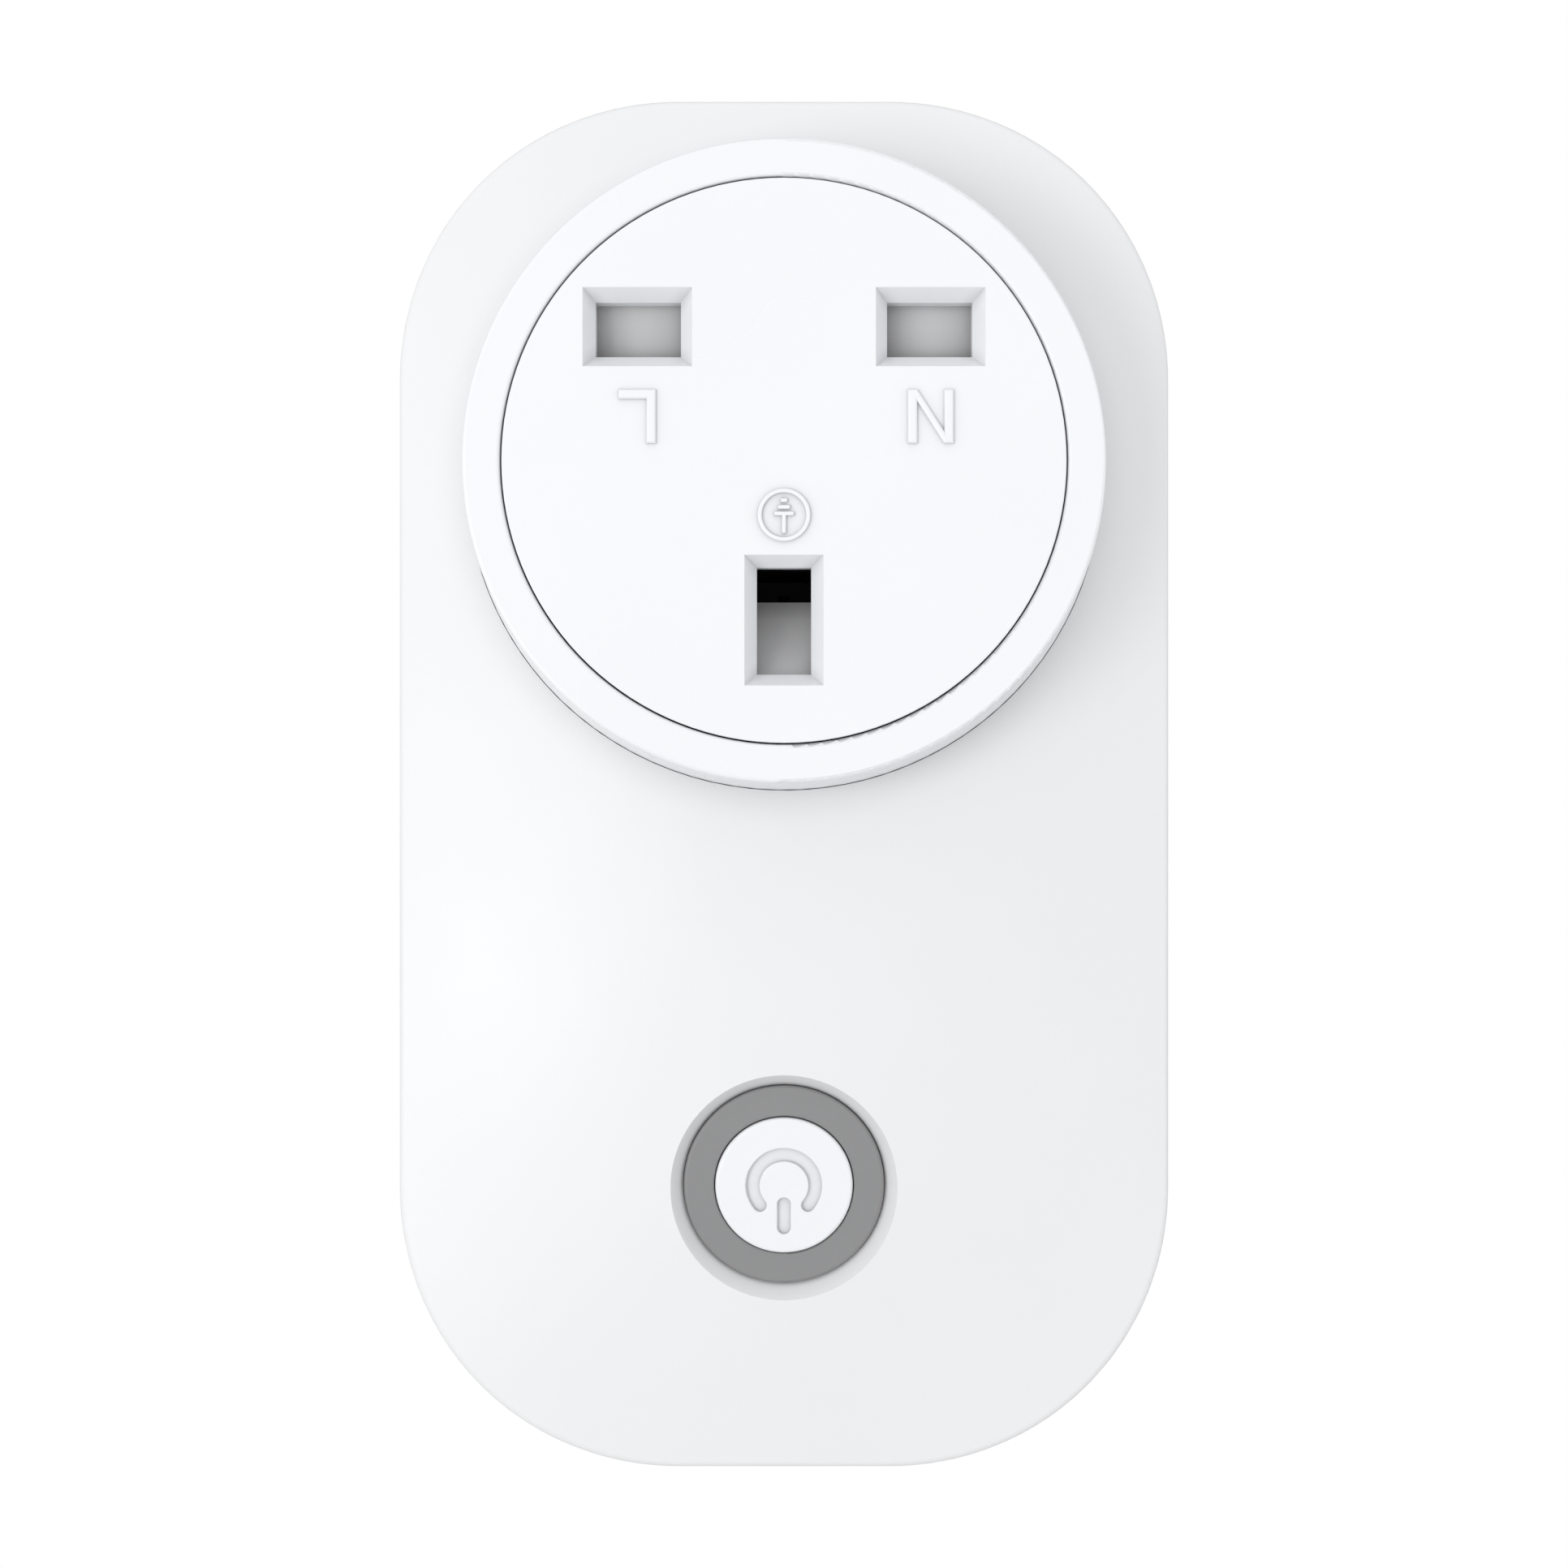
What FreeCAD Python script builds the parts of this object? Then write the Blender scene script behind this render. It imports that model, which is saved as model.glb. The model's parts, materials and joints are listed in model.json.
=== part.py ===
"""Plug-in power meter: a socket adaptor with rectangular pins, a shuttered outlet, a relay and a metering board.

Everything is drawn looking at the face: x to the right, y up, z out of the wall towards the user, with z = 0 on
the flat rear face. place() then turns each finished piece into the Z-up frame, where the face looks along -Y.
"""
import FreeCAD, Part

import math
import os
import re

import Sketcher

DIMS = {
    # case
    "case_width": 61.5, "case_height": 109.2, "corner_radius": 22.3, "case_wall": 2.0,
    "floor_level": 2.2, "parting_level": 9.0, "parting_gap": 0.15, "edge_level": 25.0, "crown_height": 5.0,
    "front_edge_radius": 0.5, "rear_edge_radius": 1.2, "lip_height": 1.4, "lip_inset": 1.1,
    "boss_x": 21.1, "boss_y": 44.95, "boss_radius": 2.7, "case_screw_radius": 1.45,
    # outlet
    "face_level": 38.0, "outlet_y": 24.5, "disc_radius": 21.4, "disc_thickness": 3.5,
    "ring_inner_radius": 21.5, "ring_outer_radius": 24.4, "ring_bore_radius": 23.0, "ring_draft": 0.07,
    "flange_radius": 26.4, "flange_low": 22.0, "flange_high": 23.5, "collar_radius": 26.9,
    "pin_offset": 11.1, "line_y": 34.6, "earth_y": 12.4, "bevel_depth": 1.7,
    "line_slot_width": 6.5, "line_slot_height": 4.15, "line_bevel_width": 8.3, "line_bevel_height": 6.0,
    "earth_slot_width": 4.15, "earth_slot_height": 8.15, "earth_bevel_width": 6.0, "earth_bevel_height": 9.9,
    "mark_height": 0.3, "letter_height": 4.1, "letter_stroke": 0.75, "letter_y": 27.8, "symbol_y": 20.35,
    "letter_rounding": 0.22, "symbol_radius": 2.0, "symbol_line": 0.32, "symbol_rounding": 0.1,
    # shutter
    "shutter_front": 34.2, "shutter_back": 32.6, "shutter_travel": 6.0, "wing_half_width": 15.2,
    "wing_low": 31.9, "wing_high": 37.3, "rail_outer": 4.2, "rail_inner": 2.5, "ramp_low": 8.3,
    "ramp_high": 14.2, "ramp_back": 29.3, "spring_low": 18.9, "spring_high": 30.0, "spring_radius": 1.25,
    "spring_wire": 0.22,
    # carrier and contacts
    "carrier_radius": 22.8, "carrier_low": 14.0, "carrier_high": 34.5, "retainer_low": 12.2,
    "strip_gauge": 0.6, "line_pin_width": 6.35, "line_pin_height": 4.0, "line_pin_length": 17.7,
    "earth_pin_width": 4.0, "earth_pin_height": 8.0, "earth_pin_length": 22.7, "sleeve_length": 9.1,
    # boards
    "board_low": 10.0, "board_thickness": 1.6, "board_width": 53.0, "board_top": 3.0,
    "relay_x": -19.25, "coil_level": 17.5, "coil_back": -29.9, "coil_front": -17.6,
    # button
    "button_y": -31.9, "button_level": 28.29, "tilt_angle": 6.2, "cap_radius": 5.45, "cap_gap": 0.08,
    "cap_level": -0.9, "icon_depth": 0.4, "icon_rounding": 0.12, "light_radius": 7.95, "light_gap": 0.05,
    "light_level": -1.2, "recess_radius": 9.15, "recess_depth": 1.75, "button_board_front": -10.2,
    "plunger_top": -6.4,
}

doc = FreeCAD.newDocument("PowerMeter")
sheet = doc.addObject("Spreadsheet::Sheet", "Dims")
for row, (alias, number) in enumerate(DIMS.items(), start=1):
    sheet.set(f"A{row}", alias)
    sheet.set(f"B{row}", str(number))
    sheet.setAlias(f"B{row}", alias)
doc.recompute()
probe = doc.addObject("App::FeaturePython", "Probe")
probe.addProperty("App::PropertyFloat", "Result")
nodes = []


# ---------------------------------------------------------------- expressions and placing

def ref(text):
    """Writes each driving dimension's name as a reference to its cell."""
    return re.sub(r"[a-z][a-z_0-9]*", lambda m: "Dims." + m[0] if m[0] in DIMS else m[0], str(text))


def bind(piece, name, text):
    piece.setExpression(name, ref(text))


def value(text):
    probe.setExpression("Result", ref(text))
    probe.recompute()
    return probe.Result


def put(piece, x=0, y=0, z=0):
    """Places an operand in the drawing frame."""
    for axis, text in zip("xyz", (x, y, z)):
        bind(piece, "Placement.Base." + axis, text)
    return piece


def put_tilted(piece, x=0, v=0, w=0):
    """Places an operand in the button's frame: x right, v up the sloping face, w out along the button's axis."""
    piece.Placement = FreeCAD.Placement(FreeCAD.Vector(), FreeCAD.Rotation(FreeCAD.Vector(1, 0, 0), 1))
    bind(piece, "Placement.Rotation.Angle", "tilt_angle")
    return put(piece, x, f"button_y + ({v})*cos(tilt_angle) - ({w})*sin(tilt_angle)",
               f"button_level + ({v})*sin(tilt_angle) + ({w})*cos(tilt_angle)")


def place(node, piece, x=0, y=0, z=0):
    """Names a finished sub-part and turns it from the drawing frame into the Z-up frame."""
    piece.Label = node
    piece.Placement = FreeCAD.Placement(FreeCAD.Vector(), FreeCAD.Rotation(FreeCAD.Vector(1, 0, 0), 90))
    put(piece, x, f"-({z})", y)
    nodes.append(piece)
    return piece


def place_tilted(node, piece):
    """The same for a sub-part drawn in the button's frame."""
    place(node, piece, 0, "button_y", "button_level")
    bind(piece, "Placement.Rotation.Angle", "90 + tilt_angle")


# ---------------------------------------------------------------- primitives and booleans

def block(low, high):
    """A box from its low corner to its high corner."""
    piece = doc.addObject("Part::Box", "Block")
    for name, start, end in zip(("Length", "Width", "Height"), low, high):
        bind(piece, name, f"({end}) - ({start})")
    return put(piece, *low)


def rod(radius, low, high, x=0, y=0):
    """A cylinder along z."""
    piece = doc.addObject("Part::Cylinder", "Rod")
    bind(piece, "Radius", radius)
    bind(piece, "Height", f"({high}) - ({low})")
    return put(piece, x, y, low)


def rod_along_y(radius, low, high, x, z):
    piece = doc.addObject("Part::Cylinder", "Rod")
    piece.Placement = FreeCAD.Placement(FreeCAD.Vector(), FreeCAD.Rotation(FreeCAD.Vector(1, 0, 0), -90))
    bind(piece, "Radius", radius)
    bind(piece, "Height", f"({high}) - ({low})")
    return put(piece, x, low, z)


def cone(low_radius, high_radius, low, high, x=0, y=0):
    piece = doc.addObject("Part::Cone", "Cone")
    bind(piece, "Radius1", low_radius)
    bind(piece, "Radius2", high_radius)
    bind(piece, "Height", f"({high}) - ({low})")
    return put(piece, x, y, low)


def fuse(*pieces):
    if len(pieces) == 1:
        return pieces[0]
    whole = doc.addObject("Part::MultiFuse", "Fuse")
    whole.Shapes = list(pieces)
    whole.Refine = True
    return whole


def cut(base, *tools):
    left = doc.addObject("Part::Cut", "Cut")
    left.Base = base
    left.Tool = fuse(*tools)
    return left


def common(first, second):
    both = doc.addObject("Part::Common", "Common")
    both.Base = first
    both.Tool = second
    return both


def group(*pieces):
    """Identical fasteners: separate solids in one sub-part."""
    whole = doc.addObject("Part::Compound", "Group")
    whole.Links = list(pieces)
    return whole


def fillet(base, radius, wanted):
    """Rounds the edges of a boolean result that wanted() picks."""
    doc.recompute()
    rounded = doc.addObject("Part::Fillet", "Fillet")
    rounded.Base = base
    size = value(radius)
    rounded.Edges = [(i, size, size) for i, edge in enumerate(base.Shape.Edges, start=1) if wanted(edge)]
    return rounded


def screw(x, y, head_level, turned_over, head_radius, shank_radius, shank_length):
    """A pan-head screw with a slot. Its shank points down z, or up z when it is turned over."""
    way = 1 if turned_over else -1
    head_ends = sorted((0, -1.4 * way))
    shank_ends = sorted((0, shank_length * way))
    head = rod(head_radius, f"{head_level} + {head_ends[0]}", f"{head_level} + {head_ends[1]}", x, y)
    shank = rod(shank_radius, f"{head_level} + {shank_ends[0]}", f"{head_level} + {shank_ends[1]}", x, y)
    slot_ends = sorted((-0.7 * way, -1.5 * way))
    slot = block((f"{x} - 0.25", f"{y} - {head_radius}", f"{head_level} + {slot_ends[0]}"),
                 (f"{x} + 0.25", f"{y} + {head_radius}", f"{head_level} + {slot_ends[1]}"))
    return cut(fuse(head, shank), slot)


# ---------------------------------------------------------------- bodies and sketches

def new_body(name):
    return doc.addObject("PartDesign::Body", name)


def sketch(body, level=0, plane="XY_Plane"):
    drawn = body.newObject("Sketcher::SketchObject", "Sketch")
    drawn.AttachmentSupport = (next(f for f in body.Origin.OriginFeatures if f.Role == plane), "")
    drawn.MapMode = "FlatFace"
    bind(drawn, "AttachmentOffset.Base.z", level)
    return drawn


def constrain(drawn, kind, *where, size=None):
    """Adds a constraint, with its size bound to the sheet where it has one."""
    if size is None:
        return drawn.addConstraint(Sketcher.Constraint(kind, *where))
    index = drawn.addConstraint(Sketcher.Constraint(kind, *where, value(size)))
    bind(drawn, f"Constraints[{index}]", size)
    return index


def outline(drawn, points):
    """A closed outline of straight lines through points whose coordinates are expressions."""
    places = [FreeCAD.Vector(value(x), value(y), 0) for x, y in points]
    first = drawn.GeometryCount
    count = len(points)
    for i, start in enumerate(places):
        drawn.addGeometry(Part.LineSegment(start, places[(i + 1) % count]), False)
    for i, (x, y) in enumerate(points):
        constrain(drawn, "Coincident", first + i, 2, first + (i + 1) % count, 1)
        constrain(drawn, "DistanceX", -1, 1, first + i, 1, size=x)
        constrain(drawn, "DistanceY", -1, 1, first + i, 1, size=y)
    return drawn


def rectangle(drawn, low, high):
    return outline(drawn, [low, (high[0], low[1]), high, (low[0], high[1])])


def centred(drawn, width, height, x=0, y=0):
    low = f"{x} - ({width})/2", f"{y} - ({height})/2"
    return rectangle(drawn, low, (f"{x} + ({width})/2", f"{y} + ({height})/2"))


def circle(drawn, radius, x=0, y=0):
    index = drawn.addGeometry(Part.Circle(FreeCAD.Vector(value(x), value(y), 0), FreeCAD.Vector(0, 0, 1),
                                          value(radius)), False)
    constrain(drawn, "DistanceX", -1, 1, index, 3, size=x)
    constrain(drawn, "DistanceY", -1, 1, index, 3, size=y)
    constrain(drawn, "Radius", index, size=radius)
    return drawn


def case_outline(drawn, inset):
    """The case's outline, a rectangle with large corner arcs, moved inwards by inset."""
    half_x, half_y = value(f"case_width/2 - ({inset})"), value(f"case_height/2 - ({inset})")
    radius = value(f"corner_radius - ({inset})")
    up = FreeCAD.Vector(0, 0, 1)
    arcs = []
    for quarter, (sx, sy) in enumerate(((1, 1), (-1, 1), (-1, -1), (1, -1))):
        centre = FreeCAD.Vector(sx * (half_x - radius), sy * (half_y - radius), 0)
        start = quarter * math.pi / 2
        arc = Part.ArcOfCircle(Part.Circle(centre, up, radius), start, start + math.pi / 2)
        arcs.append(drawn.addGeometry(arc, False))
        constrain(drawn, "DistanceX", -1, 1, arcs[-1], 3, size=f"{sx}*(case_width/2 - corner_radius)")
        constrain(drawn, "DistanceY", -1, 1, arcs[-1], 3, size=f"{sy}*(case_height/2 - corner_radius)")
    for arc, following in zip(arcs, arcs[1:] + arcs[:1]):
        ends = drawn.Geometry[arc].EndPoint, drawn.Geometry[following].StartPoint
        side = drawn.addGeometry(Part.LineSegment(*ends), False)
        constrain(drawn, "Tangent", arc, 2, side, 1)
        constrain(drawn, "Tangent", side, 2, following, 1)
    constrain(drawn, "Radius", arcs[0], size=f"corner_radius - ({inset})")
    return drawn


def pad(body, drawn, length):
    feature = body.newObject("PartDesign::Pad", "Pad")
    feature.Profile = drawn
    bind(feature, "Length", length)
    return feature


def pad_between(body, draw, low, high):
    """A pad of a sketch that draw() fills, between two levels."""
    drawn = sketch(body, low)
    draw(drawn)
    return pad(body, drawn, f"({high}) - ({low})")


def pocket_between(body, draw, low, high):
    """A pocket of a sketch that draw() fills, cut downwards from the high level."""
    drawn = sketch(body, high)
    draw(drawn)
    doc.recompute()
    before = body.Shape.Volume
    feature = body.newObject("PartDesign::Pocket", "Pocket")
    feature.Profile = drawn
    bind(feature, "Length", f"({high}) - ({low})")
    doc.recompute()
    if body.Shape.Volume >= before:
        raise RuntimeError(f"a pocket in {body.Name} cuts nothing")
    return feature


def dress(body, kind, size, wanted):
    """A PartDesign Fillet or Chamfer on the edges of the body's tip that wanted() picks."""
    doc.recompute()
    tip = body.Tip
    names = [f"Edge{i}" for i, edge in enumerate(tip.Shape.Edges, start=1) if wanted(edge)]
    feature = body.newObject("PartDesign::" + kind, kind)
    feature.Base = (tip, names)
    bind(feature, "Radius" if kind == "Fillet" else "Size", size)
    return feature


def turned(name, profile):
    """A body of revolution about z; profile gives its (radius, z) points."""
    body = new_body(name)
    drawn = outline(sketch(body, plane="XZ_Plane"), profile)
    feature = body.newObject("PartDesign::Revolution", "Revolution")
    feature.Profile = drawn
    feature.ReferenceAxis = (drawn, ["V_Axis"])
    feature.Angle = 360
    return body


def at_level(level):
    """Picks edges that lie wholly at one z."""
    height = value(level)
    return lambda edge: max(abs(edge.BoundBox.ZMin - height), abs(edge.BoundBox.ZMax - height)) < 1e-4


def round_edge_at(level, radius):
    """Picks circular edges of one radius at one z."""
    flat, size = at_level(level), value(radius)
    return lambda edge: flat(edge) and hasattr(edge.Curve, "Radius") and abs(edge.Curve.Radius - size) < 0.01


# ---------------------------------------------------------------- case

def case_prism(inset, low, high):
    body = new_body("Prism")
    pad_between(body, lambda s: case_outline(s, inset), low, high)
    return body


def crown_block(name, drop):
    """The solid under the crowned front surface: a parabola each way, flat along its edges, lowered by drop."""
    half_x, half_y = value("case_width/2"), value("case_height/2")
    edge, crown = value(f"edge_level - ({drop})"), value("crown_height")
    surface = Part.BezierSurface()
    surface.increase(2, 2)
    for i in range(3):
        for j in range(3):
            lift = 4 * crown if i == j == 1 else 0
            surface.setPole(i + 1, j + 1, FreeCAD.Vector((i - 1) * half_x, (j - 1) * half_y, edge + lift))
    solid = doc.addObject("Part::Feature", name)
    solid.Shape = surface.toShape().extrude(FreeCAD.Vector(0, 0, -edge - 1))
    solid.Placement = FreeCAD.Placement()
    return solid


BOSSES = [(f"{sx}*boss_x", f"{sy}*boss_y") for sx in (-1, 1) for sy in (-1, 1)]
BOARD_POSTS = [(-23.3, -36.2), (23.3, -36.2), (0, 0)]
PLATE_POSTS = [(0, "line_y"), (0, 22)]
CLAMP_POSTS = [(-9, 41), (9, 41)]
CARRIER_SCREWS = [(f"27.6*cos({a})", f"outlet_y + 27.6*sin({a})") for a in (-90, -35, -145)]
BUTTON_POSTS = [(sx * 7.9, sv * 7.6) for sx in (-1, 1) for sv in (-1, 1)]


def rear_cover():
    body = new_body("RearCover")
    rim = "parting_level - parting_gap"
    pad_between(body, lambda s: case_outline(s, 0), 0, rim)
    dress(body, "Fillet", "rear_edge_radius", at_level(0))
    pocket_between(body, lambda s: case_outline(s, "case_wall"), "floor_level", rim)

    def lip(drawn):
        case_outline(drawn, "lip_inset")
        case_outline(drawn, "case_wall")
    pad_between(body, lip, rim, "parting_level + lip_height")
    for x, y in BOSSES:
        pocket_between(body, lambda s: circle(s, "boss_radius + 0.15", x, y), rim, "parting_level + lip_height")
    root = "floor_level - 0.5"
    for posts, radius, top in ((BOSSES, 3.9, 5), (BOARD_POSTS, 2.5, "board_low"), (PLATE_POSTS, 2.6, 6.2),
                               (CLAMP_POSTS, 1.8, "retainer_low")):
        for x, y in posts:
            pad_between(body, lambda s: circle(s, radius, x, y), root, top)
    for x, y in BOSSES:
        pocket_between(body, lambda s: circle(s, 3.0, x, y), 0, 3)
        pocket_between(body, lambda s: circle(s, 1.6, x, y), 3, 5)
    for posts, radius, top in ((BOARD_POSTS, 1.05, "board_low"), (PLATE_POSTS, 1.05, 6.2)):
        for x, y in posts:
            pocket_between(body, lambda s: circle(s, radius, x, y), "floor_level", top)
    for x in ("-pin_offset", "pin_offset"):
        pocket_between(body, lambda s: centred(s, "line_pin_width + 0.1", "line_pin_height + 0.1", x, "line_y"),
                       0, "floor_level")
    pocket_between(body, lambda s: centred(s, "earth_pin_width + 0.1", "earth_pin_height + 0.1", 0, "earth_y"),
                   0, "floor_level")
    place("rear_cover", body)


def front_cover():
    high = "face_level"
    solid = common(case_prism(0, "parting_level", high), crown_block("CrownOuter", 0))

    def front_rim(edge):
        box = edge.BoundBox
        inside = abs(edge.CenterOfMass.x) < value("case_width/2") - 0.001
        return box.ZMin > value("edge_level") - 0.5 and (inside or box.YLength > 1)
    blank = fillet(solid, "front_edge_radius", front_rim)
    hollow = common(case_prism("case_wall", "parting_level - 1", high), crown_block("CrownInner", "case_wall"))
    collar = rod("collar_radius", "flange_high + 0.05", high, 0, "outlet_y")
    bosses = [rod("boss_radius", "parting_level - 2", high, x, y) for x, y in BOSSES]
    lugs = [rod(1.9, "flange_high + 0.05", high, x, y) for x, y in CARRIER_SCREWS]
    posts = [put_tilted(rod(1.3, 0, 13), x, v, "button_board_front") for x, v in BUTTON_POSTS]
    shell = cut(blank, cut(hollow, collar, *bosses, *lugs, *posts))
    stubs = [rod("boss_radius - 0.4", 5.1, "parting_level + 1", x, y) for x, y in BOSSES]
    mouth = cone("ring_outer_radius + 0.05 + (face_level - 20)*ring_draft", "ring_outer_radius + 0.05",
                 20, "face_level", 0, "outlet_y")
    rebate = case_prism("lip_inset - 0.1", "parting_level", "parting_level + lip_height + 0.2")
    band = cut(rebate, *[rod("boss_radius", 0, 20, x, y) for x, y in BOSSES])
    pilots = [rod(1.5, 5, 17, x, y) for x, y in BOSSES]
    lug_pilots = [rod(1.05, "flange_high", 25.3, x, y) for x, y in CARRIER_SCREWS]
    post_pilots = [put_tilted(rod(0.65, 0, 5), x, v, "button_board_front") for x, v in BUTTON_POSTS]
    well_radius = "light_radius + light_gap"
    well = put_tilted(rod(well_radius, 0, 10), 0, 0, "-10 - recess_depth + 0.01")
    chamfer = cone(well_radius, f"recess_radius + (recess_radius - ({well_radius}))/recess_depth",
                   0, "recess_depth + 1")
    put_tilted(chamfer, 0, 0, "-recess_depth")
    place("front_cover", cut(fuse(shell, *stubs), mouth, band, *pilots, *lug_pilots, *post_pilots, well, chamfer))


def case_screws():
    place("case_screws", group(*[screw(x, y, 3, True, 2.7, "case_screw_radius", 12) for x, y in BOSSES]))


# ---------------------------------------------------------------- outlet

def socket_bezel_ring():
    skirt = "ring_outer_radius + (face_level - flange_high)*ring_draft"
    body = turned("BezelRing", [
        ("ring_inner_radius", "face_level"), ("ring_outer_radius", "face_level"), (skirt, "flange_high"),
        ("flange_radius", "flange_high"), ("flange_radius", "flange_low"), ("ring_bore_radius", "flange_low"),
        ("ring_bore_radius", "carrier_high + 0.1"), ("ring_inner_radius", "carrier_high + 0.1")])
    dress(body, "Fillet", 0.3, at_level("face_level"))
    place("socket_bezel_ring", body, 0, "outlet_y")


def slot_bevel(body, slot, bevel, x, y):
    """A bevelled slot: a sloping lead-in over a straight way through."""
    pocket_between(body, lambda s: centred(s, *slot, x, y), "face_level - disc_thickness - 0.5", "face_level")
    mouth = centred(sketch(body, "face_level"), *bevel, x, y)
    throat = centred(sketch(body, "face_level - bevel_depth"), *slot, x, y)
    feature = body.newObject("PartDesign::SubtractiveLoft", "Bevel")
    feature.Profile = mouth
    feature.Sections = [throat]
    feature.Ruled = True


def letter_l(drawn):
    """The letter L, turned half over."""
    left, right = "-pin_offset - 1.43", "-pin_offset + 1.43"
    low, high = "letter_y - letter_height/2", "letter_y + letter_height/2"
    outline(drawn, [(left, high), (right, high), (right, low), (f"{right} - letter_stroke", low),
                    (f"{right} - letter_stroke", f"{high} - letter_stroke"), (left, f"{high} - letter_stroke")])


def letter_n(drawn):
    """The letter N, which reads the same turned half over."""
    left, right = "pin_offset - 1.75", "pin_offset + 1.75"
    low, high = "letter_y - letter_height/2", "letter_y + letter_height/2"
    inner_left, inner_right = f"{left} + letter_stroke", f"{right} - letter_stroke"
    outline(drawn, [(left, low), (inner_left, low), (inner_left, f"{high} - 1.0"), (inner_right, low),
                    (right, low), (right, high), (inner_right, high), (inner_right, f"{low} + 1.0"),
                    (inner_left, high), (left, high)])


def earth_symbol(body):
    """A ring round three bars of falling length and a stem, turned half over."""
    top = "face_level + mark_height"
    bars = ((0.51, 1.10), (0.91, 0.59), (1.5, 0.1))

    def ring(drawn):
        circle(drawn, "symbol_radius", 0, "symbol_y")
        circle(drawn, "symbol_radius - symbol_line", 0, "symbol_y")
    pad_between(body, ring, "face_level", top)
    for width, rise in bars:
        pad_between(body, lambda s: centred(s, width, "symbol_line", 0, f"symbol_y + {rise}"), "face_level", top)
    pad_between(body, lambda s: centred(s, "symbol_line", 1.4, 0, "symbol_y - 0.7"), "face_level", top)
    flat = at_level(top)
    dress(body, "Fillet", "symbol_rounding", lambda edge: flat(edge) and abs(edge.CenterOfMass.x) < 3)


def socket_faceplate():
    body = new_body("Faceplate")
    back = "face_level - disc_thickness"
    pad_between(body, lambda s: circle(s, "disc_radius", 0, "outlet_y"), back, "face_level")
    dress(body, "Fillet", 0.12, at_level("face_level"))
    for x in ("-pin_offset", "pin_offset"):
        slot_bevel(body, ("line_slot_width", "line_slot_height"), ("line_bevel_width", "line_bevel_height"),
                   x, "line_y")
    slot_bevel(body, ("earth_slot_width", "earth_slot_height"), ("earth_bevel_width", "earth_bevel_height"),
               0, "earth_y")
    for draw in (letter_l, letter_n):
        pad_between(body, draw, "face_level", "face_level + mark_height")
    dress(body, "Fillet", "letter_rounding", at_level("face_level + mark_height"))
    earth_symbol(body)
    place("socket_faceplate", body)


def shutter():
    """A slider with two wings behind the line slots, and a ramp that the earth pin pushes aside."""
    body = new_body("Shutter")

    def plan(drawn):
        outline(drawn, [("-wing_half_width", "wing_low"), ("-rail_outer", "wing_low"),
                        ("-rail_outer", "ramp_low"), ("rail_outer", "ramp_low"), ("rail_outer", "wing_low"),
                        ("wing_half_width", "wing_low"), ("wing_half_width", "wing_high"),
                        ("-wing_half_width", "wing_high")])
        rectangle(drawn, ("-rail_inner", "ramp_high"), ("rail_inner", "spring_high"))
    pad_between(body, plan, "shutter_back", "shutter_front")
    pad_between(body, lambda s: rectangle(s, (-1.7, "spring_high"), (1.7, "wing_low")), 31, "shutter_front")
    pad_between(body, lambda s: rectangle(s, ("-rail_outer", "ramp_low"), ("rail_outer", "ramp_high")),
                "ramp_back", "shutter_front")
    faces = (
        ([("ramp_low - 0.1", "shutter_front + 0.08"), ("ramp_high + 0.1", "ramp_back + 0.62"),
          ("ramp_high + 0.1", "shutter_front + 1"), ("ramp_low - 0.1", "shutter_front + 1")], "2*rail_inner"),
        ([("wing_low - 0.1", "shutter_front - 0.95"), ("wing_high + 0.1", "shutter_front"),
          ("wing_high + 0.1", "shutter_front + 1"), ("wing_low - 0.1", "shutter_front + 1")], 40),
    )
    for profile, width in faces:
        drawn = outline(sketch(body, plane="YZ_Plane"), profile)
        feature = body.newObject("PartDesign::Pocket", "Slope")
        feature.Profile = drawn
        feature.Midplane = True
        bind(feature, "Length", width)
    place("shutter", body)


def shutter_spring():
    coil = doc.addObject("Part::Helix", "Coil")
    bind(coil, "Radius", "spring_radius - spring_wire")
    bind(coil, "Height", "spring_high - spring_low - 2*spring_wire")
    bind(coil, "Pitch", "(spring_high - spring_low - 2*spring_wire)/8")
    wire = doc.addObject("Part::Circle", "Wire")
    bind(wire, "Radius", "spring_wire")
    wire.Placement = FreeCAD.Placement(FreeCAD.Vector(value("spring_radius - spring_wire"), 0, 0),
                                       FreeCAD.Rotation(FreeCAD.Vector(1, 0, 0), 90))
    swept = doc.addObject("Part::Sweep", "Spring")
    swept.Sections = [wire]
    swept.Spine = (coil, ["Edge1"])
    swept.Solid = True
    swept.Frenet = True
    swept.Label = "shutter_spring"
    put(swept, 0, -32.6, "spring_low + spring_wire")
    nodes.append(swept)


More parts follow.
